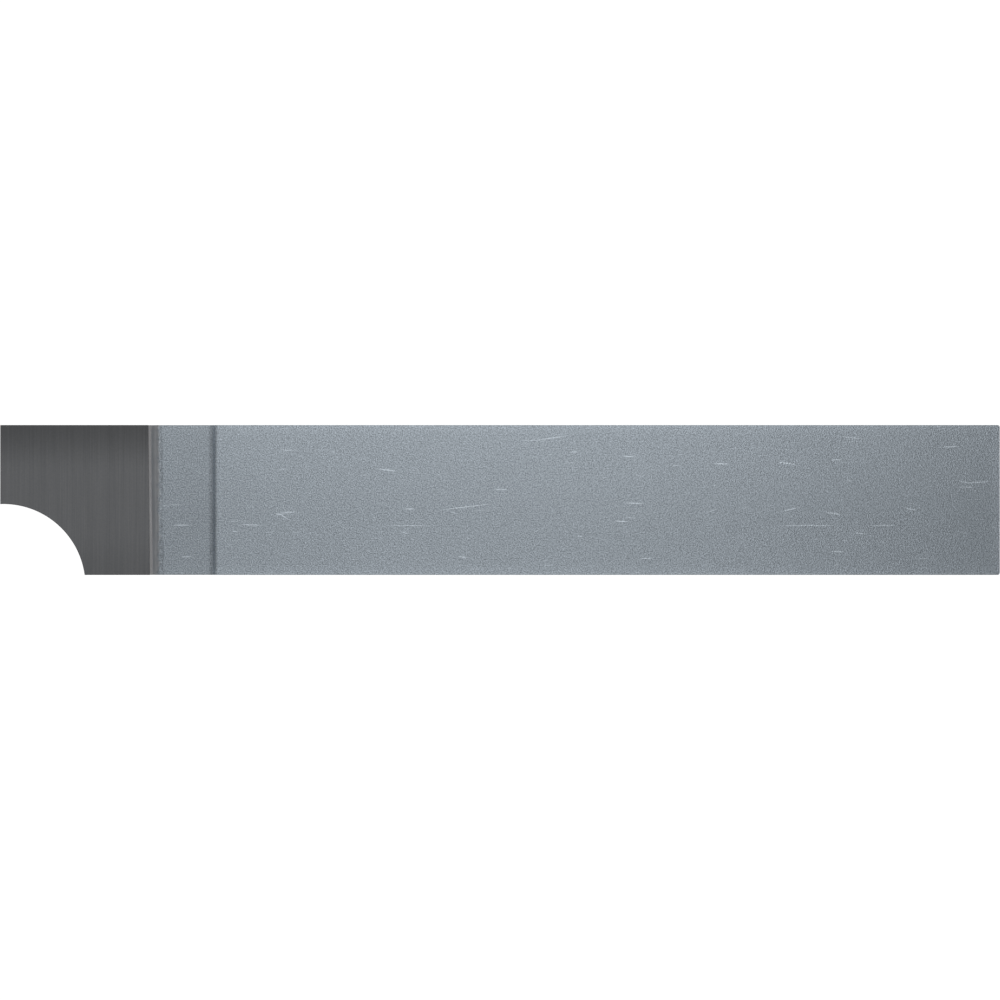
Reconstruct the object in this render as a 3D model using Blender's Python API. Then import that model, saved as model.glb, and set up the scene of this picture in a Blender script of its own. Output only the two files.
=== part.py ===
"""A brazed carbide radius tool bit, right hand: a square steel shank with a concave radius tip.

Metres, +Z up. +X runs from the cutting end to the rear end, and the concave radius is at the -Y side
of the cutting end. The origin is at the middle of the shank's underside, measured over its whole length.
"""

import bmesh
import bpy
from math import acos, atan2, cos, pi, radians, sin, tan
from mathutils import Vector

# The shank
SHANK_LENGTH = 0.0635
SHANK_WIDTH = 0.009525
SHANK_HEIGHT = 0.009525
REAR_CORNER_ROUND = 0.00015
EDGE_BREAK = 0.00006

# The step that is milled into the shank's top, so that a wheel can pass over the tip
SHELF_DEPTH = 0.00045
STEP_FROM_FRONT = 0.0138
STEP_FILLET = 0.00042
STEP_EDGE_ROUND = 0.0002

# The carbide tip
TIP_LENGTH = 0.00947
TIP_THICKNESS = 0.0024
TIP_SKEW = 0.0001
TIP_HEEL_CHAMFER = 0.0003
EDGE_HONE = 0.00003

# The concave radius. Its centre lies behind the front edge and outside the tool's side.
RADIUS = 0.00521
CENTRE_BEHIND_FRONT = 0.0002
CENTRE_OUTSIDE_SIDE = 0.00071

# Relief below the cutting edges, towards +X at the front and towards +Y in the radius
TIP_RELIEF = radians(7)
HEEL_RELIEF = radians(10)
HEEL_SETBACK = 0.00012

# The brazed joint. Its exposed edges end a little below the faces that were ground after brazing.
SEAT_GAP = 0.0003
JOINT_CLEARANCE = 0.00002
SEAT_CORNER_FILLET = 0.00035
BRAZE_CREST = 0.0001
BRAZE_FILLET_LENGTH = 0.00076
BRAZE_FOOT = 0.00003
BRAZE_SUNK = 0.00005

# How finely the curves are divided
RADIUS_STEPS = 64
FILLET_STEPS = 10
ROUND_STEPS = 5
BREAK_SEGMENTS = 3

# How far a cutter runs past what it cuts, and the angle that parts flat faces from round ones
OVERRUN = 0.002
SHARP_ANGLE = radians(32)

FRONT = -SHANK_LENGTH / 2
REAR = SHANK_LENGTH / 2
SIDE = -SHANK_WIDTH / 2
FAR_SIDE = SHANK_WIDTH / 2
TOP = SHANK_HEIGHT
SHELF = TOP - SHELF_DEPTH
TIP_UNDERSIDE = TOP - TIP_THICKNESS
SEAT_FLOOR = TIP_UNDERSIDE - SEAT_GAP
TIP_REAR = FRONT + TIP_LENGTH
SEAT_WALL = TIP_REAR + SEAT_GAP
STEP_EDGE = FRONT + STEP_FROM_FRONT


def clear_scene():
    for old in list(bpy.data.objects):
        bpy.data.objects.remove(old, do_unlink=True)


def make_material(name, colour, roughness, metallic):
    material = bpy.data.materials.new(name)
    material.use_nodes = True
    shader = material.node_tree.nodes["Principled BSDF"]
    shader.inputs["Base Color"].default_value = (*colour, 1)
    shader.inputs["Roughness"].default_value = roughness
    shader.inputs["Metallic"].default_value = metallic
    return material


def add_object(name, bm, material=None):
    bmesh.ops.recalc_face_normals(bm, faces=bm.faces)
    mesh = bpy.data.meshes.new(name)
    bm.to_mesh(mesh)
    bm.free()
    if material:
        mesh.materials.append(material)
    piece = bpy.data.objects.new(name, mesh)
    bpy.context.scene.collection.objects.link(piece)
    return piece


def arc(centre, radius, start, end, steps):
    """Points from the start angle to the end angle, both included."""
    turns = [start + (end - start) * i / steps for i in range(steps + 1)]
    return [(centre[0] + radius * cos(turn), centre[1] + radius * sin(turn)) for turn in turns]


def extrude_outline(points, along):
    """A closed solid: the outline's face, drawn out along a vector."""
    bm = bmesh.new()
    face = bm.faces.new([bm.verts.new(point) for point in points])
    drawn = bmesh.ops.extrude_face_region(bm, geom=[face], use_keep_orig=True)
    moved = [item for item in drawn["geom"] if isinstance(item, bmesh.types.BMVert)]
    bmesh.ops.translate(bm, verts=moved, vec=along)
    return bm


def upright_profile(points, half_width):
    """A solid with the same lengthwise profile, given as (x, z), across the width."""
    outline = [(x, -half_width, z) for x, z in points]
    return extrude_outline(outline, Vector((0, 2 * half_width, 0)))


def bevel_edges(bm, edges, offset, segments):
    bmesh.ops.bevel(
        bm, geom=edges, offset=offset, segments=segments, profile=0.5, affect="EDGES", material=-1
    )


def cut(piece, cutter):
    cutter.hide_render = True
    cutter.display_type = "WIRE"
    boolean = piece.modifiers.new("cut_" + cutter.name, "BOOLEAN")
    boolean.operation = "DIFFERENCE"
    boolean.object = cutter


def break_edges(piece, width):
    """Takes the sharpness off every edge between two faces."""
    bevel = piece.modifiers.new("broken_edges", "BEVEL")
    bevel.width = width
    bevel.segments = BREAK_SEGMENTS
    bevel.limit_method = "ANGLE"
    bevel.angle_limit = SHARP_ANGLE


def shade_round(piece):
    """Rounded faces are smooth, and the edges between flat faces stay sharp."""
    piece.data.shade_smooth()
    piece.data.set_sharp_from_angle(angle=SHARP_ANGLE)


def tip_rear_at(y):
    """The tip sits slightly askew on its seat, so its rear face is further back at the radius side."""
    return TIP_REAR - TIP_SKEW * y / SHANK_WIDTH


def tip_inset():
    """How far the carbide's relief has carried its faces back at its underside."""
    return TIP_THICKNESS * tan(TIP_RELIEF)


def form_cutter(name, edge_level, edge_inset, relief):
    """All that lies before the cutting edges: the straight front land and the concave radius.

    The outline is that of the cutting edges, carried back by edge_inset at edge_level, and it is drawn
    down along the relief, so the front leans back and the radius becomes a slanting hollow.
    """
    highest = TOP + OVERRUN
    depth = highest + OVERRUN
    carried = edge_inset - (highest - edge_level) * tan(relief)
    centre = (FRONT + CENTRE_BEHIND_FRONT + carried, SIDE - CENTRE_OUTSIDE_SIDE + carried)
    land_end = pi - acos(CENTRE_BEHIND_FRONT / RADIUS)
    edge = arc(centre, RADIUS, land_end, 0, RADIUS_STEPS)
    land_x = edge[0][0]
    outside_x = FRONT - SHANK_WIDTH
    outside_y = SIDE - SHANK_WIDTH
    beyond_y = FAR_SIDE + SHANK_WIDTH
    outline = [(outside_x, beyond_y), (land_x, beyond_y)] + edge
    outline += [(edge[-1][0], outside_y), (outside_x, outside_y)]
    points = [(x, y, highest) for x, y in outline]
    lean = depth * tan(relief)
    return add_object(name, extrude_outline(points, Vector((lean, lean, -depth))))


def heel_cutter(name, sunk=0):
    return form_cutter(name, TIP_UNDERSIDE, tip_inset() + HEEL_SETBACK + sunk, HEEL_RELIEF)


def step_curve():
    """The step's outline from the shelf up: a fillet that turns into the round of the step's edge.

    They meet in one sloping curve, or leave an upright wall between them if the step is deeper.
    """
    rounds = STEP_FILLET + STEP_EDGE_ROUND
    steepest = acos(max(0, 1 - SHELF_DEPTH / rounds))
    fillet_centre = (STEP_EDGE - rounds * sin(steepest), SHELF + STEP_FILLET)
    edge_centre = (STEP_EDGE, TOP - STEP_EDGE_ROUND)
    fillet = arc(fillet_centre, STEP_FILLET, -pi / 2, steepest - pi / 2, FILLET_STEPS)
    edge = arc(edge_centre, STEP_EDGE_ROUND, steepest + pi / 2, pi / 2, ROUND_STEPS)
    has_wall = SHELF_DEPTH > rounds
    return fillet + (edge if has_wall else edge[1:])


def shank_profile():
    """The bar's lengthwise outline: seat floor, seat wall, shelf, step, top, rear end and underside."""
    start = FRONT - OVERRUN
    seat_corner = (SEAT_WALL - SEAT_CORNER_FILLET, SEAT_FLOOR + SEAT_CORNER_FILLET)
    points = [(start, 0), (start, SEAT_FLOOR)]
    points += arc(seat_corner, SEAT_CORNER_FILLET, -pi / 2, 0, ROUND_STEPS)
    points += [(SEAT_WALL, SHELF)]
    points += step_curve()
    points += [(REAR, TOP), (REAR, 0)]
    return points


def round_rear_corners(bm):
    """The two upright corners of the rear end, where the bar was parted off and deburred."""
    behind_step = (STEP_EDGE + REAR) / 2
    upright = [
        edge
        for edge in bm.edges
        if all(vert.co.x > behind_step for vert in edge.verts)
        and abs(edge.verts[0].co.z - edge.verts[1].co.z) > SHANK_HEIGHT / 2
    ]
    bevel_edges(bm, upright, REAR_CORNER_ROUND, ROUND_STEPS)


def make_shank():
    bm = upright_profile(shank_profile(), SHANK_WIDTH / 2)
    round_rear_corners(bm)
    steel = make_material("blasted_steel", (0.28, 0.31, 0.34), 0.55, 0.6)
    shank = add_object("shank", bm, steel)
    cut(shank, heel_cutter("shank_heel_cutter"))
    break_edges(shank, EDGE_BREAK)
    shade_round(shank)
    return shank


def make_tip():
    """A block with a skewed rear face and a chamfered heel, whose front and radius are ground away."""
    start = FRONT - OVERRUN
    outline = [(start, SIDE), (tip_rear_at(SIDE), SIDE), (tip_rear_at(FAR_SIDE), FAR_SIDE), (start, FAR_SIDE)]
    bm = extrude_outline([(x, y, TOP) for x, y in outline], Vector((0, 0, -TIP_THICKNESS)))
    midway = TOP - TIP_THICKNESS / 2
    heel = [
        edge
        for edge in bm.edges
        if all(vert.co.z < midway and vert.co.x > FRONT for vert in edge.verts)
    ]
    bevel_edges(bm, heel, TIP_HEEL_CHAMFER, 1)
    carbide = make_material("ground_carbide", (0.09, 0.092, 0.095), 0.35, 0.85)
    tip = add_object("carbide_tip", bm, carbide)
    cut(tip, form_cutter("tip_form_cutter", TOP, 0, TIP_RELIEF))
    break_edges(tip, EDGE_HONE)
    shade_round(tip)
    return tip


def braze_profile(tip_rear):
    """The joint's lengthwise outline where the tip's rear face stands at tip_rear.

    Above the shelf the braze is a round fillet, level at its foot, that climbs to a ground crest.
    """
    start = FRONT - OVERRUN
    inner_x = tip_rear + JOINT_CLEARANCE
    inner_z = TIP_UNDERSIDE - JOINT_CLEARANCE
    outer_x = SEAT_WALL - JOINT_CLEARANCE
    outer_z = SEAT_FLOOR + JOINT_CLEARANCE
    on_shelf = SHELF + JOINT_CLEARANCE
    crest_x = inner_x + BRAZE_CREST
    foot_x = crest_x + BRAZE_FILLET_LENGTH
    foot_z = on_shelf + BRAZE_FOOT
    rise = TOP - foot_z
    fillet_radius = (BRAZE_FILLET_LENGTH**2 + rise**2) / (2 * rise)
    steepest = 2 * atan2(rise, BRAZE_FILLET_LENGTH)
    corner = (SEAT_WALL - SEAT_CORNER_FILLET, SEAT_FLOOR + SEAT_CORNER_FILLET)
    points = [(start, inner_z), (start, outer_z)]
    points += arc(corner, SEAT_CORNER_FILLET - JOINT_CLEARANCE, -pi / 2, 0, ROUND_STEPS)
    points += [(outer_x, on_shelf), (foot_x, on_shelf)]
    points += arc((foot_x, foot_z + fillet_radius), fillet_radius, -pi / 2, -pi / 2 - steepest, FILLET_STEPS)
    points += [(inner_x, TOP), (inner_x, TIP_UNDERSIDE + TIP_HEEL_CHAMFER)]
    points += [(inner_x - TIP_HEEL_CHAMFER, inner_z)]
    return points


def make_braze():
    """The joint is lofted between its outlines at the two sides, because the tip sits askew."""
    bm = bmesh.new()
    rims = []
    for y in (SIDE + BRAZE_SUNK, FAR_SIDE - BRAZE_SUNK):
        points = braze_profile(tip_rear_at(y))
        verts = [bm.verts.new((x, y, z)) for x, z in points]
        rims.append(bm.faces.new(verts))
    loops = [edge for rim in rims for edge in rim.edges]
    bmesh.ops.bridge_loops(bm, edges=loops)
    silver = make_material("silver_braze", (0.42, 0.41, 0.38), 0.3, 0.9)
    braze = add_object("braze_joint", bm, silver)
    cut(braze, heel_cutter("braze_heel_cutter", BRAZE_SUNK))
    shade_round(braze)
    return braze


def main():
    clear_scene()
    make_shank()
    make_tip()
    make_braze()


main()
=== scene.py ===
"""The looks of the radius tool bit: blasted steel, ground carbide and silver braze, in a white light tent."""

import math

import bmesh
import bpy
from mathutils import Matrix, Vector, noise


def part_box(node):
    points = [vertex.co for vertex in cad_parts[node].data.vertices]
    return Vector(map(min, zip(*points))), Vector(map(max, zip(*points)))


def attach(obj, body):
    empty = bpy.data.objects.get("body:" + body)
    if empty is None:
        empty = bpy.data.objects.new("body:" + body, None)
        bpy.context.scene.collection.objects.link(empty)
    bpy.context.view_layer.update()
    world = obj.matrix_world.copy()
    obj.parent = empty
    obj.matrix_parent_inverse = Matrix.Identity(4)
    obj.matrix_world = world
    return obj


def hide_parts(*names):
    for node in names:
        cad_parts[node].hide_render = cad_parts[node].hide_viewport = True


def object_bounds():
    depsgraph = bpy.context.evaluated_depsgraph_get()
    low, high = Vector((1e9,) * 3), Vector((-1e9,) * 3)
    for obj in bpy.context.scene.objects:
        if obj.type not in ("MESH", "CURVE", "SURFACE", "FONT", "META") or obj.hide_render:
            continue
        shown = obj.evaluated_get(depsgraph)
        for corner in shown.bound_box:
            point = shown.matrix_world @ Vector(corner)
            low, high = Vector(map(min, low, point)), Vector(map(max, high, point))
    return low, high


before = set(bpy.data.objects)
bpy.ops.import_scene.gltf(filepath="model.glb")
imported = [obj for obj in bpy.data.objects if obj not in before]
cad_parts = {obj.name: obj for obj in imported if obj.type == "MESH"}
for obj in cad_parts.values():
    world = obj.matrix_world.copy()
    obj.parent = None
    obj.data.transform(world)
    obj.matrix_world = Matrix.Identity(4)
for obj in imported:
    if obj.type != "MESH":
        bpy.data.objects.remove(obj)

# Lengths are in metres, and places closer than a hair are the same
MM = 0.001
HAIR = 0.001 * MM

# The tool's places, read from the bounds of the CAD parts
CAD_LOW, CAD_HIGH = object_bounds()
FRONT = CAD_LOW.x
REAR = CAD_HIGH.x
RADIUS_SIDE = CAD_LOW.y
PLAIN_SIDE = CAD_HIGH.y
UNDERSIDE = CAD_LOW.z
TOP = CAD_HIGH.z
TIP_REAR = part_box("carbide_tip")[1].x
BRAZE_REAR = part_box("braze_joint")[1].x

# The camera hangs over the tool, and the tool's length fills the picture from edge to edge
PICTURE_WIDTH_PX = 1000
TOOL_LENGTH_PX = 999.7
CAMERA_HEIGHT = 0.42
SENSOR = 36

# The lamps: a soft box low over the tool, and a dimmer one beside it towards the cutting end
LAMP_HEIGHT = 0.10
LAMP_LENGTH = 0.20
LAMP_MIDDLE_Y = 0.053
SOFTBOX = {"x": 0.009, "width": 0.032, "radiance": 1.9}
FILL_BOX = {"x": -0.058, "width": 0.085, "radiance": 0.68}

# The white tent: its brightness low down, in its bright band and overhead, and how far up it changes
TENT_LOW = 0.35
TENT_BAND = 0.65
TENT_HIGH = 0.14
BAND_STARTS = (0.15, 0.30)
BAND_ENDS = (0.45, 0.60)

# The table: its paint, the glow that the camera sees, and how far it lies below the tool
TABLE_SIZE = 3.0
TABLE_WHITE = 0.88
TABLE_MOTTLE = 0.01
TABLE_ROUGHNESS = 0.6
TABLE_GLOW = 1.06
TABLE_DROP = 0.02 * MM

# Faces that look up enough to count as level, and heights just below the tool's top
LEVEL = (0.9, 0.98)
JUST_BELOW_TOP = (TOP - 0.25 * MM, TOP - 0.05 * MM)

# The blasted steel: its grain, and what makes it paler or darker: random clouds, painted shade on the shelf,
# a painted highlight along the edges, and painted light on the plain side and the step wall
STEEL_METALLIC = 0.85
BLAST_GRAIN = 0.075 * MM
BLAST_DEPTH = 0.010 * MM
BLAST_DARK = (0.172, 0.194, 0.214)
BLAST_PALE = (0.454, 0.508, 0.560)
BLAST_ROUGHNESS = 0.45
CLOUD_TONES = (0.985, 1.015)
RIM_WIDTH = 0.8 * MM
# Painted highlight: the skin is paler within RIM_WIDTH of the box's edges
RIM_PAINTED_HIGHLIGHT = 1.08
# Painted shade: the level shelf below the top is made darker
SHELF_PAINTED_SHADE = 0.89
# Painted light: the skin grows paler towards the plain side
PAINTED_LIGHT_FROM = -1.2 * MM
PLAIN_SIDE_PAINTED_LIGHT = 1.14
# Painted light: steep faces such as the step wall are made paler
STEP_WALL_PAINTED_LIGHT = 1.36

# Bare steel, which shows in the marks and a little along the worn edges
WORN_STEEL = (0.78, 0.86, 0.93)
MARK_STRENGTH = 0.8
EDGE_WEAR = 0.09 * MM
EDGE_WEAR_STRENGTH = 0.12

# The ground heel under the tip: how far back it reaches, its colours and its wheel marks
HEEL_ENDS = (FRONT + 5.6 * MM, FRONT + 6.0 * MM)
GROUND_STEEL = ((0.30, 0.31, 0.325), (0.42, 0.43, 0.445))
GROUND_STEEL_ROUGHNESS = 0.33
HEEL_LINES = 0.11 * MM
HEEL_LINE_DEPTH = 0.25

# The ground carbide: its colours, its wheel marks, and its sides, which are as they were sintered
CARBIDE_METALLIC = 0.9
GROUND_CARBIDE = ((0.117, 0.120, 0.125), (0.146, 0.149, 0.154))
GROUND_CARBIDE_ROUGHNESS = (0.30, 0.38)
TOP_LINES = 0.09 * MM
FACE_LINES = 0.07 * MM
CARBIDE_LINE_DEPTH = 0.0015 * MM
FLECK_TONES = (0.97, 1.03)
SINTERED_TONE = 0.8
SINTERED_ROUGHNESS = 0.5

# The tip's top darkens towards the plain side and the radius side, a painted shade of the lamps' reflection:
# where it starts, and the tone it reaches
PLAIN_SHADE_FROM = 1.6 * MM
PLAIN_SHADE_TONE = 0.64
RADIUS_SHADE_FROM = -1.9 * MM
RADIUS_SHADE_TONE = 0.88

# The silver braze: smooth between two colours, with painted light below its ground crest, and blasted towards
# its foot, with painted shade there
BRAZE_METALLIC = 0.9
BRAZE_ROUGHNESS = 0.4
BRAZE_SMOOTH = ((0.31, 0.318, 0.330), (0.39, 0.400, 0.415))
# Painted light: the fillet's colour just below the crest
BRAZE_PAINTED_LIGHT_BELOW_CREST = (0.475, 0.475, 0.485)
BRAZE_CREST = (0.245, 0.245, 0.25)
CREST_STARTS = (TOP - 0.012 * MM, TOP - 0.002 * MM)
BRAZE_BLASTED_FROM = (0.50 * MM, 0.22 * MM)
BRAZE_FOOT_FROM = (0.26 * MM, 0.10 * MM)
BRAZE_FOOT_RAGGED = 0.1 * MM
# Painted shade: the blasted braze is darker, and darker still at its foot
BRAZE_BLASTED_PAINTED_SHADE = 0.88
BRAZE_FOOT_PAINTED_SHADE = 0.64

# The braze's form: the room that it closes, the width of its slices, how far its foot reaches, how deep
# its foot and bed sink into the shank, and how far its ends stay inside the tool's sides
BRAZE_CLEARANCE = 0.02 * MM
BRAZE_SLICE = 0.1 * MM
FOOT_REACH = 0.05 * MM
FOOT_SUNK = 0.003 * MM
BED_SUNK = 0.02 * MM
FLUSH_GAP = 0.008 * MM
CREASE_ANGLE = 0.5

# How uneven the fillet is: its bulges, and the line of its foot
BULGE = 0.006 * MM
BULGES_PER_METRE = 1400
FOOT_WANDER = 0.09 * MM
WANDERS_PER_METRE = 900

# Stray scratches, in millimetres: a cell, the longest scratch, its width, and the share of cells with one
STRAY_SIZES = ((3.2, 1.2, 0.10, 0.6), (1.9, 0.6, 0.11, 0.6))
STRAY_ON_TOP = 0.5

# Each placed scratch is a slim ellipse that fades out between two multiples of its half length and width
SCRATCH_STRENGTH = 0.68
SCRATCH_HALF_LENGTH = 1 / 1.8
SCRATCH_HALF_WIDTH = 0.82
SCRATCH_FADES = (0.6, 1.3)

# The scratches on the shank's top and shelf, in millimetres from the cutting end and from the middle
# line: start, end and width
SCRATCHES = (
    ((10.00, -3.05), (10.50, -3.05), 0.045),
    ((11.05, -1.60), (12.00, -1.59), 0.038),
    ((11.55, -3.62), (12.10, -3.60), 0.035),
    ((14.75, -2.00), (15.10, -2.00), 0.035),
    ((15.40, -1.56), (16.50, -1.60), 0.040),
    ((17.50, -0.88), (17.95, -0.92), 0.055),
    ((17.85, -0.80), (18.80, -0.75), 0.042),
    ((17.85, -0.95), (18.25, -1.18), 0.036),
    ((18.00, 3.12), (18.55, 3.17), 0.035),
    ((24.05, 1.97), (25.15, 1.84), 0.045),
    ((24.95, -1.62), (27.10, -1.62), 0.022),
    ((25.70, -0.57), (26.25, -0.57), 0.045),
    ((28.20, -0.60), (31.00, -0.27), 0.033),
    ((29.15, -3.60), (29.65, -3.66), 0.042),
    ((31.45, 0.65), (32.15, 0.68), 0.050),
    ((33.20, 3.80), (34.30, 3.78), 0.022),
    ((34.20, 3.82), (35.75, 4.04), 0.036),
    ((36.20, 3.05), (36.65, 3.05), 0.040),
    ((39.10, -1.33), (39.80, -1.37), 0.045),
    ((39.60, 2.79), (40.25, 2.74), 0.038),
    ((39.75, -0.19), (40.80, -0.22), 0.042),
    ((40.60, -3.70), (41.40, -3.72), 0.034),
    ((45.40, 2.33), (46.20, 2.29), 0.050),
    ((49.40, 2.41), (50.40, 2.27), 0.042),
    ((49.70, -0.72), (50.60, -0.50), 0.038),
    ((49.80, -1.62), (52.85, -1.62), 0.027),
    ((52.50, -0.80), (53.30, -0.90), 0.060),
    ((52.80, 2.54), (53.45, 2.59), 0.042),
    ((52.80, -3.27), (53.60, -3.30), 0.042),
    ((53.50, 4.02), (54.70, 3.90), 0.035),
    ((54.35, -2.08), (54.90, -2.16), 0.042),
    ((55.30, -1.62), (56.80, -1.60), 0.028),
    ((57.50, -0.51), (58.15, -0.64), 0.045),
    ((59.80, 3.36), (60.85, 3.40), 0.038),
    ((60.95, 1.19), (61.60, 1.08), 0.045),
    ((61.50, 1.08), (62.75, 1.18), 0.055),
    ((60.95, 0.83), (61.75, 0.80), 0.045),
)


class Wiring:
    """Adds nodes to one tree and links them as they are added."""

    def __init__(self, tree):
        self.tree = tree

    def feed(self, socket, value):
        if isinstance(value, bpy.types.NodeSocket):
            self.tree.links.new(value, socket)
        else:
            socket.default_value = value

    def node(self, kind, inputs=None, **settings):
        node = self.tree.nodes.new("ShaderNode" + kind)
        for name, value in settings.items():
            setattr(node, name, value)
        for name, value in (inputs or {}).items():
            self.feed(node.inputs[name], value)
        return node

    def math(self, operation, *values):
        node = self.node("Math", operation=operation)
        for socket, value in zip(node.inputs, values):
            self.feed(socket, value)
        return node.outputs[0]

    def times(self, first, *others):
        """The product of all the values."""
        product = first
        for value in others:
            product = self.math("MULTIPLY", product, value)
        return product

    def strongest(self, first, *others):
        """The highest of several masks."""
        highest = first
        for mask in others:
            highest = self.math("MAXIMUM", highest, mask)
        return highest

    def vector(self, operation, *values):
        node = self.node("VectorMath", operation=operation)
        for socket, value in zip(node.inputs, values):
            self.feed(socket, value)
        return node.outputs["Value" if operation in ("DOT_PRODUCT", "LENGTH", "DISTANCE") else "Vector"]

    def parts(self, vector):
        return self.node("SeparateXYZ", {0: vector}).outputs

    def joined(self, x, y, z=0.0):
        return self.node("CombineXYZ", {0: x, 1: y, 2: z}).outputs[0]

    def scaled(self, vector, scale):
        return self.node("Mapping", {"Vector": vector, "Scale": scale}).outputs[0]

    def noise(self, vector, scale, detail=2.0, roughness=0.5):
        inputs = {"Vector": vector, "Scale": scale, "Detail": detail, "Roughness": roughness}
        return self.node("TexNoise", inputs).outputs[0]

    def ramp(self, value, low, high, to_low=0.0, to_high=1.0, smooth=True):
        inputs = {0: value, 1: low, 2: high, 3: to_low, 4: to_high}
        kind = "SMOOTHSTEP" if smooth else "LINEAR"
        return self.node("MapRange", inputs, interpolation_type=kind).outputs[0]

    def spread(self, noise, low, high):
        """The middle of a noise's range, spread evenly between two values."""
        return self.ramp(noise, 0.3, 0.7, low, high, smooth=False)

    def fade(self, mask, first, second):
        """The first value where the mask is 0, and the second where it is 1."""
        return self.ramp(mask, 0.0, 1.0, first, second, smooth=False)

    def between(self, factor, first, second):
        return self.node("Mix", {0: factor, 2: first, 3: second}, data_type="FLOAT").outputs[0]

    def mix(self, factor, first, second, blend="MIX"):
        node = self.node("Mix", data_type="RGBA", blend_type=blend)
        self.feed(node.inputs["Factor"], factor)
        for socket, value in ((node.inputs[6], first), (node.inputs[7], second)):
            self.feed(socket, (*value, 1) if isinstance(value, tuple) else value)
        return node.outputs[2]

    def toned(self, colour, tone):
        """A colour made darker or paler by a tone around 1."""
        return self.mix(1.0, colour, tone, "MULTIPLY")

    def group(self, group, inputs):
        node = self.tree.nodes.new("ShaderNodeGroup")
        node.node_tree = group
        for name, value in inputs.items():
            self.feed(node.inputs[name], value)
        return node.outputs


def start_group(name, inputs, outputs):
    """An empty shader group. Inputs and outputs are pairs of a name and Float or Vector."""
    tree = bpy.data.node_groups.new(name, "ShaderNodeTree")
    for label, kind in inputs:
        tree.interface.new_socket(label, in_out="INPUT", socket_type="NodeSocket" + kind)
    for label, kind in outputs:
        tree.interface.new_socket(label, in_out="OUTPUT", socket_type="NodeSocket" + kind)
    inlet = tree.nodes.new("NodeGroupInput")
    outlet = tree.nodes.new("NodeGroupOutput")
    return tree, Wiring(tree), inlet.outputs, outlet.inputs


def make_blast_grain():
    """The craters of a blasted surface: a speckle from 0 to 1 and the height of the crater walls."""
    tree, wire, given, out = start_group(
        "blast_grain", [("Vector", "Vector"), ("Grain", "Float")], [("Speckle", "Float"), ("Height", "Float")]
    )
    per_metre = wire.math("DIVIDE", 1.0, given["Grain"])
    craters = wire.node("TexVoronoi", {"Vector": given["Vector"], "Scale": per_metre}, feature="F1").outputs
    glint = wire.times(wire.parts(craters["Color"])[0], 0.2)
    fine = wire.noise(given["Vector"], per_metre, detail=0.0)
    both = wire.math("ADD", glint, wire.ramp(fine, 0.2, 0.8, 0.0, 0.8, smooth=False))
    wire.feed(out["Speckle"], both)
    wire.feed(out["Height"], wire.math("ADD", craters["Distance"], wire.times(fine, 0.5)))
    return tree


def make_ground_lines():
    """Fine wheel marks that run along the vector's second and third axes and change along its first."""
    tree, wire, given, out = start_group(
        "ground_lines", [("Vector", "Vector"), ("Spacing", "Float")], [("Lines", "Float")]
    )
    per_metre = wire.math("DIVIDE", 1.0, given["Spacing"])
    fine = wire.noise(wire.scaled(given["Vector"], (1.0, 0.012, 0.012)), per_metre, detail=3.0, roughness=0.7)
    broad = wire.noise(wire.scaled(given["Vector"], (0.12, 0.006, 0.006)), per_metre, detail=2.0)
    both = wire.math("ADD", wire.times(fine, 0.75), wire.times(broad, 0.25))
    wire.feed(out["Lines"], wire.ramp(both, 0.32, 0.68, smooth=False))
    return tree


def make_stray_scratches():
    """Scattered short scratches, at most one in each cell, and most of them nearly along the first axis."""
    tree, wire, given, out = start_group(
        "stray_scratches",
        [("Plane", "Vector"), ("Cell", "Float"), ("Length", "Float"), ("Width", "Float"), ("Share", "Float")],
        [("Mask", "Float")],
    )
    cells = wire.node(
        "TexVoronoi",
        {"Vector": given["Plane"], "Scale": wire.math("DIVIDE", 1.0, given["Cell"]), "Randomness": 0.8},
        voronoi_dimensions="2D",
        feature="F1",
    ).outputs
    chance = wire.parts(cells["Color"])
    turn = wire.math("SUBTRACT", wire.times(chance[0], 2.0), 1.0)
    lean = wire.math("POWER", wire.math("ABSOLUTE", turn), 3.0)
    angle = wire.times(lean, wire.math("SIGN", turn), 0.6)
    local = wire.vector("SUBTRACT", given["Plane"], cells["Position"])
    rotated = wire.node("VectorRotate", {"Vector": local, "Angle": angle}, rotation_type="Z_AXIS").outputs[0]
    turned = wire.parts(rotated)
    half_length = wire.times(given["Length"], wire.math("ADD", wire.times(chance[1], 0.4), 0.1))
    half_width = wire.times(given["Width"], 0.5)
    along = wire.math("DIVIDE", wire.math("ABSOLUTE", turned[0]), half_length)
    beside = wire.math("DIVIDE", wire.math("ABSOLUTE", turned[1]), half_width)
    line = wire.times(wire.ramp(along, 0.3, 1.0, 1.0, 0.0), wire.ramp(beside, 0.2, 1.0, 1.0, 0.0))
    wire.feed(out["Mask"], wire.times(line, wire.math("LESS_THAN", chance[2], given["Share"])))
    return tree


def make_face_plane():
    """Flat coordinates on the nearest box face, lengthwise and crosswise, which differ from face to face."""
    tree, wire, given, out = start_group("face_plane", [("Vector", "Vector")], [("Plane", "Vector")])
    normal = wire.node("NewGeometry").outputs["True Normal"]
    lean = wire.parts(wire.vector("ABSOLUTE", normal))
    place = wire.parts(given["Vector"])
    level = wire.math("GREATER_THAN", lean[2], 0.7)
    end_on = wire.math("GREATER_THAN", lean[0], 0.7)
    along = wire.between(end_on, place[0], place[1])
    across = wire.between(level, place[2], place[1])
    apart = wire.vector("DOT_PRODUCT", normal, (0.31, 0.17, 0.07))
    wire.feed(out["Plane"], wire.joined(wire.math("ADD", along, apart), wire.math("ADD", across, apart)))
    return tree


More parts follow.
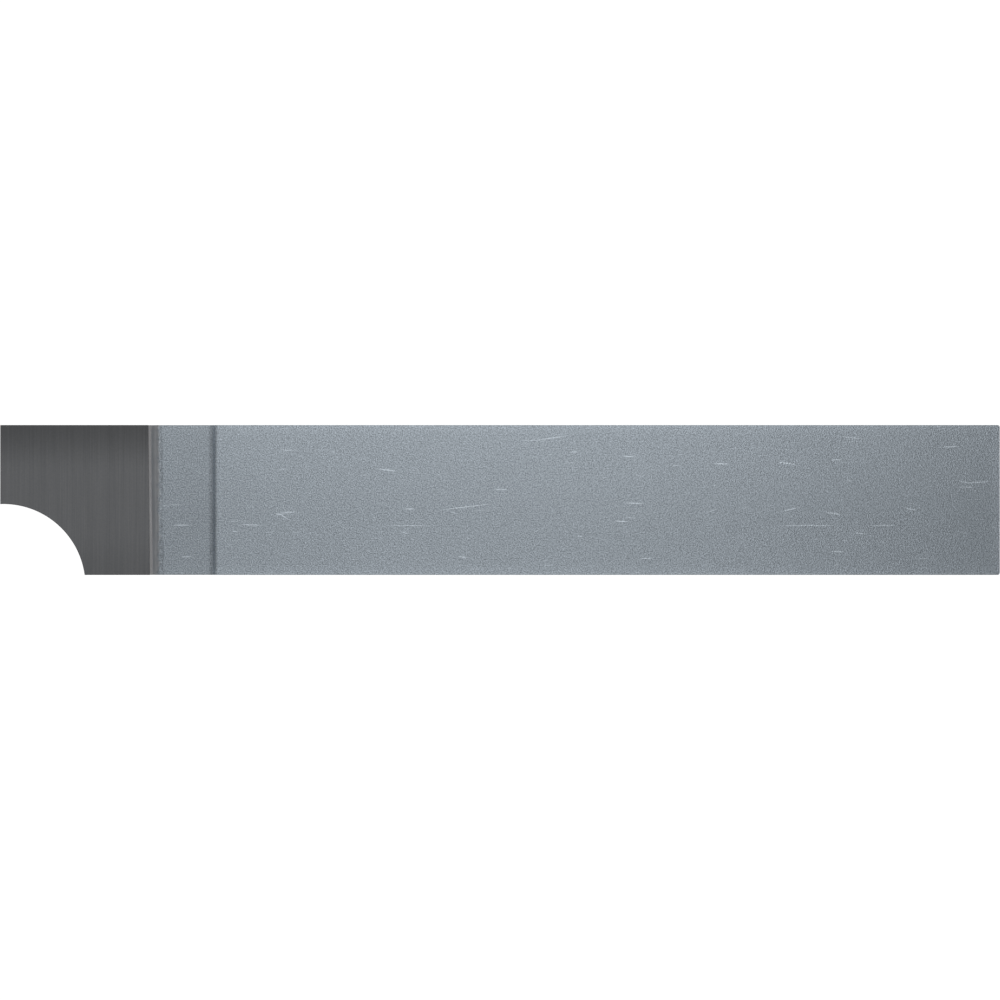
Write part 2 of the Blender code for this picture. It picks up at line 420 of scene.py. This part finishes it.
def make_worn_edges():
    """The edges of a box, worn over a width: 1 on an edge and 0 on the open faces."""
    tree, wire, given, out = start_group(
        "worn_edges",
        [("Vector", "Vector"), ("Low", "Vector"), ("High", "Vector"), ("Width", "Float")],
        [("Mask", "Float")],
    )
    from_low = wire.vector("SUBTRACT", given["Vector"], given["Low"])
    from_high = wire.vector("SUBTRACT", given["High"], given["Vector"])
    nearest = wire.parts(wire.vector("MINIMUM", from_low, from_high))
    lesser = wire.math("MINIMUM", nearest[0], nearest[1])
    greater = wire.math("MAXIMUM", nearest[0], nearest[1])
    second = wire.math("MAXIMUM", lesser, wire.math("MINIMUM", greater, nearest[2]))
    wire.feed(out["Mask"], wire.ramp(wire.math("DIVIDE", second, given["Width"]), 0.0, 1.0, 1.0, 0.0))
    return tree


def start_material(name, metallic):
    material = bpy.data.materials.new(name)
    material.use_nodes = True
    shader = material.node_tree.nodes["Principled BSDF"]
    shader.inputs["Metallic"].default_value = metallic
    return material, Wiring(material.node_tree), shader


def bumped(wire, height, distance):
    return wire.node("Bump", {"Height": height, "Distance": distance}).outputs[0]


def facing(wire):
    """How far the surface faces along each axis."""
    return wire.parts(wire.node("NewGeometry").outputs["True Normal"])


def around_and_down(wire, spot):
    """Coordinates for wheel marks that run down steep faces: the first changes around the cutting end."""
    return wire.joined(wire.math("SUBTRACT", spot[1], spot[0]), spot[2])


def placed_scratches(wire, place, up):
    """The scratches that the photo shows on the shank's top and shelf, as one mask of slim ellipses."""
    nearest = 10.0
    for (x0, y0), (x1, y1), width in SCRATCHES:
        length = math.hypot(x1 - x0, y1 - y0)
        ellipse = {
            "Vector": place,
            "Location": (FRONT + (x0 + x1) / 2 * MM, (y0 + y1) / 2 * MM, 0),
            "Rotation": (0, 0, math.atan2(y1 - y0, x1 - x0)),
            "Scale": (length * SCRATCH_HALF_LENGTH * MM, width * SCRATCH_HALF_WIDTH * MM, 1),
        }
        local = wire.node("Mapping", ellipse, vector_type="TEXTURE").outputs[0]
        nearest = wire.math("MINIMUM", nearest, wire.vector("LENGTH", local))
    return wire.times(wire.ramp(nearest, *SCRATCH_FADES, SCRATCH_STRENGTH, 0.0), up)


def stray_marks(wire, plane, stray, up):
    """Handling marks on every face: a few long ones and more short ones, fainter on the top."""
    boldness = wire.between(up, 1.0, STRAY_ON_TOP)
    masks = []
    for cell, length, width, share in STRAY_SIZES:
        given = {"Plane": plane, "Cell": cell * MM, "Length": length * MM, "Share": share}
        given["Width"] = wire.times(boldness, width * MM)
        masks.append(wire.group(stray, given)["Mask"])
    return wire.times(wire.strongest(*masks), boldness)


def steel_tone_and_painted_light(wire, place, spot, turned, up, band):
    """The blasted skin's tone: slow clouds, painted shade on the shelf, and painted light on the rim, plain
    side and step wall.
    """
    clouds = wire.spread(wire.noise(place, 260.0, detail=3.0), *CLOUD_TONES)
    on_shelf = wire.times(up, wire.ramp(spot[2], *JUST_BELOW_TOP, 1.0, 0.0))
    steep = wire.times(wire.ramp(turned[2], 0.8, 0.5), wire.ramp(turned[2], 0.1, 0.2))
    # Painted shade: the shelf is darker
    shelf = wire.fade(on_shelf, 1.0, SHELF_PAINTED_SHADE)
    # Painted highlight: paler along the box's edges
    rim = wire.fade(band, 1.0, RIM_PAINTED_HIGHLIGHT)
    # Painted light: paler towards the plain side
    paler = wire.ramp(spot[1], PAINTED_LIGHT_FROM, PLAIN_SIDE, 1.0, PLAIN_SIDE_PAINTED_LIGHT, smooth=False)
    # Painted light: steep faces such as the step wall are paler
    wall = wire.fade(steep, 1.0, STEP_WALL_PAINTED_LIGHT)
    return wire.times(clouds, shelf, rim, paler, wall)


def ground_heel(wire, spot, turned, lines):
    """A mask of the heel faces, which lean back below the tip, and the wheel marks that run down them."""
    before_end = wire.ramp(spot[0], *HEEL_ENDS, 1.0, 0.0)
    leaning = wire.ramp(turned[2], -0.05, -0.12)
    not_level = wire.ramp(turned[2], -0.5, -0.3)
    given = {"Vector": around_and_down(wire, spot), "Spacing": HEEL_LINES}
    return wire.times(before_end, leaning, not_level), wire.group(lines, given)["Lines"]


def blasted_steel(groups):
    """Fine blasted grain with scratches that show bare steel, and a ground heel under the tip."""
    material, wire, shader = start_material("blasted_steel", STEEL_METALLIC)
    place = wire.node("TexCoord").outputs["Object"]
    spot = wire.parts(place)
    plane = wire.group(groups["face_plane"], {"Vector": place})["Plane"]
    turned = facing(wire)
    up = wire.ramp(turned[2], *LEVEL)
    grain = wire.group(groups["blast_grain"], {"Vector": place, "Grain": BLAST_GRAIN})
    box = {"Vector": place, "Low": tuple(CAD_LOW), "High": tuple(CAD_HIGH)}
    worn = wire.group(groups["worn_edges"], {**box, "Width": EDGE_WEAR})["Mask"]
    band = wire.group(groups["worn_edges"], {**box, "Width": RIM_WIDTH})["Mask"]
    tone = steel_tone_and_painted_light(wire, place, spot, turned, up, band)
    skin = wire.toned(wire.mix(grain["Speckle"], BLAST_DARK, BLAST_PALE), tone)

    # Marks show the bare steel, and are uneven along their length
    broken = wire.ramp(wire.noise(place, 8000.0), 0.3, 0.65, 0.5, 1.0)
    stray = stray_marks(wire, plane, groups["stray_scratches"], up)
    marks = wire.strongest(placed_scratches(wire, place, up), stray, wire.times(worn, EDGE_WEAR_STRENGTH))
    bare = wire.times(marks, broken, MARK_STRENGTH)
    blasted = wire.mix(bare, skin, WORN_STEEL)

    heel, lines = ground_heel(wire, spot, turned, groups["ground_lines"])
    ground = wire.mix(lines, *GROUND_STEEL)
    wire.feed(shader.inputs["Base Color"], wire.mix(heel, blasted, ground))
    roughness = wire.fade(wire.strongest(bare, heel), BLAST_ROUGHNESS, GROUND_STEEL_ROUGHNESS)
    wire.feed(shader.inputs["Roughness"], roughness)
    height = wire.between(heel, grain["Height"], wire.times(lines, HEEL_LINE_DEPTH))
    wire.feed(shader.inputs["Normal"], bumped(wire, height, BLAST_DEPTH))
    return material


def ground_carbide(groups):
    """Wheel marks cross the top face, and run down the relieved faces below it."""
    material, wire, shader = start_material("ground_carbide", CARBIDE_METALLIC)
    place = wire.node("TexCoord").outputs["Object"]
    spot = wire.parts(place)
    turned = facing(wire)
    up = wire.ramp(turned[2], *LEVEL)
    sintered = wire.ramp(wire.math("ABSOLUTE", turned[1]), 0.995, 0.999)
    on_top = {"Vector": place, "Spacing": TOP_LINES}
    on_faces = {"Vector": around_and_down(wire, spot), "Spacing": FACE_LINES}
    across_top = wire.group(groups["ground_lines"], on_top)["Lines"]
    down_faces = wire.group(groups["ground_lines"], on_faces)["Lines"]
    marks = wire.between(up, down_faces, across_top)

    # The ground top is darker towards the plain side, and a little towards the radius side: painted shade of
    # the lamps' reflection
    to_plain = wire.ramp(spot[1], PLAIN_SHADE_FROM, PLAIN_SIDE, 1.0, PLAIN_SHADE_TONE)
    to_radius = wire.ramp(spot[1], RADIUS_SIDE, RADIUS_SHADE_FROM, RADIUS_SHADE_TONE, 1.0)
    painted_top_shade = wire.between(up, 1.0, wire.times(to_plain, to_radius))
    fleck = wire.spread(wire.noise(place, 9000.0), *FLECK_TONES)
    tone = wire.times(painted_top_shade, fleck, wire.fade(sintered, 1.0, SINTERED_TONE))
    wire.feed(shader.inputs["Base Color"], wire.toned(wire.mix(marks, *GROUND_CARBIDE), tone))
    polish = wire.fade(marks, *GROUND_CARBIDE_ROUGHNESS)
    wire.feed(shader.inputs["Roughness"], wire.between(sintered, polish, SINTERED_ROUGHNESS))
    wire.feed(shader.inputs["Normal"], bumped(wire, marks, CARBIDE_LINE_DEPTH))
    return material


def silver_braze(groups):
    """Smooth at its ground crest, with painted light below it, and blasted like the steel towards its foot,
    with painted shade there.
    """
    material, wire, shader = start_material("silver_braze", BRAZE_METALLIC)
    place = wire.node("TexCoord").outputs["Object"]
    spot = wire.parts(place)
    grain = wire.group(groups["blast_grain"], {"Vector": place, "Grain": BLAST_GRAIN})
    patches = wire.noise(place, 3200.0, detail=2.0)
    to_foot = wire.math("SUBTRACT", BRAZE_REAR, spot[0])
    ragged = wire.math("ADD", to_foot, wire.spread(patches, -BRAZE_FOOT_RAGGED, BRAZE_FOOT_RAGGED))
    blasted = wire.ramp(ragged, *BRAZE_BLASTED_FROM)
    foot = wire.ramp(ragged, *BRAZE_FOOT_FROM)

    smooth = wire.mix(patches, *BRAZE_SMOOTH)
    # Painted light: the fillet is paler just below its ground crest
    smooth = wire.mix(wire.ramp(spot[2], *JUST_BELOW_TOP), smooth, BRAZE_PAINTED_LIGHT_BELOW_CREST)
    # Painted shade: the blasted braze is darker, and darker still at its foot where it meets the shelf
    tone = wire.fade(foot, BRAZE_BLASTED_PAINTED_SHADE, BRAZE_FOOT_PAINTED_SHADE)
    speckled = wire.toned(wire.mix(grain["Speckle"], BLAST_DARK, BLAST_PALE), tone)
    body = wire.mix(blasted, smooth, speckled)
    crest = wire.ramp(spot[2], *CREST_STARTS)
    wire.feed(shader.inputs["Base Color"], wire.mix(crest, body, BRAZE_CREST))
    wire.feed(shader.inputs["Roughness"], wire.fade(blasted, BRAZE_ROUGHNESS, BLAST_ROUGHNESS))
    height = wire.times(grain["Height"], blasted)
    wire.feed(shader.inputs["Normal"], bumped(wire, height, BLAST_DEPTH))
    return material


def table_white():
    """White acrylic with the faintest mottle. The camera sees only its glow, so that no shade shows on it."""
    material, wire, shader = start_material("table_white", 0.0)
    place = wire.node("TexCoord").outputs["Object"]
    mottle = wire.noise(place, 14.0, detail=3.0)
    white = wire.spread(mottle, TABLE_WHITE - TABLE_MOTTLE, TABLE_WHITE + TABLE_MOTTLE)
    wire.feed(shader.inputs["Base Color"], white)
    wire.feed(shader.inputs["Roughness"], TABLE_ROUGHNESS)
    seen = wire.node("LightPath").outputs["Is Camera Ray"]
    glow = wire.node("Emission", {"Strength": TABLE_GLOW}).outputs[0]
    shown = wire.node("MixShader", {0: seen, 1: shader.outputs["BSDF"], 2: glow}).outputs[0]
    wire.feed(material.node_tree.nodes["Material Output"].inputs["Surface"], shown)
    return material


def dress(node, material):
    """Gives a CAD node its material."""
    piece = bpy.data.objects[node]
    piece.data.materials.clear()
    piece.data.materials.append(material)


def add_piece(name, bm, material):
    mesh = bpy.data.meshes.new(name)
    bm.to_mesh(mesh)
    bm.free()
    mesh.materials.append(material)
    piece = bpy.data.objects.new(name, mesh)
    bpy.context.scene.collection.objects.link(piece)
    return piece


def braze_shelf_level():
    """The level of the shank's shelf, which the braze's foot stands just above."""
    mesh = bpy.data.objects["braze_joint"].data
    foot = [vert.co.z for vert in mesh.vertices if vert.co.x > BRAZE_REAR - FOOT_REACH]
    return min(foot) - BRAZE_CLEARANCE


def grow(bm, distance):
    """Moves every face outwards by the same distance."""
    bm.normal_update()
    moves = [(vert, vert.normal * vert.calc_shell_factor() * distance) for vert in bm.verts]
    for vert, move in moves:
        vert.co += move


def slice_across(bm, low, high, spacing):
    """Cuts edges across the joint at even steps, so that its fillet can be made uneven."""
    count = int((high - low) / spacing)
    for i in range(1, count):
        y = low + (high - low) * i / count
        everything = bm.verts[:] + bm.edges[:] + bm.faces[:]
        bmesh.ops.bisect_plane(bm, geom=everything, plane_co=(0, y, 0), plane_no=(0, 1, 0), dist=HAIR / 10)


def widen(bm):
    """Brings the joint's ends out to the tool's sides, ground almost flush with them."""
    outermost = max(abs(vert.co.y) for vert in bm.verts)
    for vert in bm.verts:
        if abs(vert.co.y) > outermost - BRAZE_CLEARANCE:
            vert.co.y = math.copysign(PLAIN_SIDE - FLUSH_GAP, vert.co.y)


def lower_foot(bm, shelf_level):
    """Stretches the fillet down until its foot dips just into the shelf, and beds the joint's underside."""
    foot_end = {vert for vert in bm.verts if vert.co.x > BRAZE_REAR - BRAZE_CLEARANCE}
    foot_level = max(vert.co.z for vert in foot_end)
    stretch = (TOP - shelf_level + FOOT_SUNK) / (TOP - foot_level)
    squeeze = (BED_SUNK - FOOT_SUNK) / (foot_level - shelf_level)
    for vert in bm.verts:
        if vert in foot_end:
            vert.co.z = shelf_level - BED_SUNK + (vert.co.z - shelf_level) * squeeze
        elif vert.co.z > foot_level - HAIR:
            vert.co.z = TOP - (TOP - vert.co.z) * stretch
        elif vert.co.z > shelf_level - BRAZE_CLEARANCE / 2:
            vert.co.z -= BED_SUNK


def ripple_fillet(bm, shelf_level):
    """Makes the fillet a little uneven, and its foot a wandering line."""
    behind_tip = TIP_REAR + BRAZE_CLEARANCE
    fillet = [vert for vert in bm.verts if vert.co.x > behind_tip and vert.co.z < TOP - HAIR]
    fillet = [vert for vert in fillet if vert.co.z > shelf_level - 2 * FOOT_SUNK]
    bm.normal_update()
    for vert in fillet:
        fall = min(1.0, (TOP - vert.co.z) / (TOP - shelf_level))
        bulge = noise.noise(vert.co * BULGES_PER_METRE) * BULGE * 4 * fall * (1 - fall)
        along = Vector((0.5, vert.co.y * WANDERS_PER_METRE, 0.5))
        wander = noise.noise(along) * FOOT_WANDER * fall**3
        vert.co += vert.normal * bulge + Vector((wander, 0, 0))


def make_braze_fillet(material, shelf_level):
    """The silver braze: the joint's own form, grown to meet the tip and the shank, with an uneven fillet."""
    bm = bmesh.new()
    bm.from_mesh(bpy.data.objects["braze_joint"].data)
    bmesh.ops.remove_doubles(bm, verts=bm.verts, dist=HAIR / 2)
    grow(bm, BRAZE_CLEARANCE)
    widen(bm)
    lower_foot(bm, shelf_level)
    slice_across(bm, RADIUS_SIDE, PLAIN_SIDE, BRAZE_SLICE)
    ripple_fillet(bm, shelf_level)
    for vert in bm.verts:
        vert.co.z = min(vert.co.z, TOP)
    for face in bm.faces:
        face.smooth = True
    fillet = add_piece("braze_fillet", bm, material)
    fillet.data.set_sharp_from_angle(angle=CREASE_ANGLE)
    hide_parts("braze_joint")
    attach(fillet, "root")


def make_table(material):
    """The table, a little below the tool so that the two flat faces don't flicker."""
    bm = bmesh.new()
    bmesh.ops.create_grid(bm, x_segments=1, y_segments=1, size=TABLE_SIZE / 2)
    bmesh.ops.translate(bm, verts=bm.verts, vec=(0, 0, UNDERSIDE - TABLE_DROP))
    add_piece("table", bm, material)


def make_camera():
    """A long lens straight above the tool, at the height where its top fills the picture's width."""
    data = bpy.data.cameras.new("camera")
    data.sensor_width = SENSOR
    picture_width = (REAR - FRONT) * PICTURE_WIDTH_PX / TOOL_LENGTH_PX
    data.lens = SENSOR * CAMERA_HEIGHT / picture_width
    data.clip_start = CAMERA_HEIGHT / 100
    data.clip_end = TABLE_SIZE * 2
    camera = bpy.data.objects.new("camera", data)
    camera.location = ((FRONT + REAR) / 2, (RADIUS_SIDE + PLAIN_SIDE) / 2, TOP + CAMERA_HEIGHT)
    bpy.context.scene.collection.objects.link(camera)
    bpy.context.scene.camera = camera


def make_softbox(name, x, width, radiance):
    """A flat box that faces down, long across the tool."""
    data = bpy.data.lights.new(name, "AREA")
    data.shape = "RECTANGLE"
    data.size = width
    data.size_y = LAMP_LENGTH
    data.energy = radiance * math.pi * width * LAMP_LENGTH
    lamp = bpy.data.objects.new(name, data)
    lamp.location = (x, LAMP_MIDDLE_Y, LAMP_HEIGHT)
    lamp.visible_camera = False
    bpy.context.scene.collection.objects.link(lamp)


def light_tent():
    """White cloth all round with a bright band low down, and plain white where the camera sees it."""
    world = bpy.data.worlds.new("tent")
    world.use_nodes = True
    wire = Wiring(world.node_tree)
    rise = wire.parts(wire.node("TexCoord").outputs["Generated"])[2]
    lower = wire.ramp(rise, *BAND_STARTS, TENT_LOW, TENT_BAND)
    cloth = wire.between(wire.ramp(rise, *BAND_ENDS), lower, TENT_HIGH)
    seen = wire.node("LightPath").outputs["Is Camera Ray"]
    backdrop = world.node_tree.nodes["Background"]
    backdrop.inputs["Color"].default_value = (1, 1, 1, 1)
    wire.feed(backdrop.inputs["Strength"], wire.strongest(cloth, seen))
    bpy.context.scene.world = world
    bpy.context.scene.view_settings.view_transform = "Standard"


def main():
    makers = (
        make_blast_grain,
        make_ground_lines,
        make_stray_scratches,
        make_face_plane,
        make_worn_edges,
    )
    groups = {tree.name: tree for tree in (maker() for maker in makers)}
    shelf_level = braze_shelf_level()
    dress("shank", blasted_steel(groups))
    dress("carbide_tip", ground_carbide(groups))
    make_braze_fillet(silver_braze(groups), shelf_level)
    make_table(table_white())
    make_camera()
    make_softbox("softbox", **SOFTBOX)
    make_softbox("fill_box", **FILL_BOX)
    light_tent()


main()
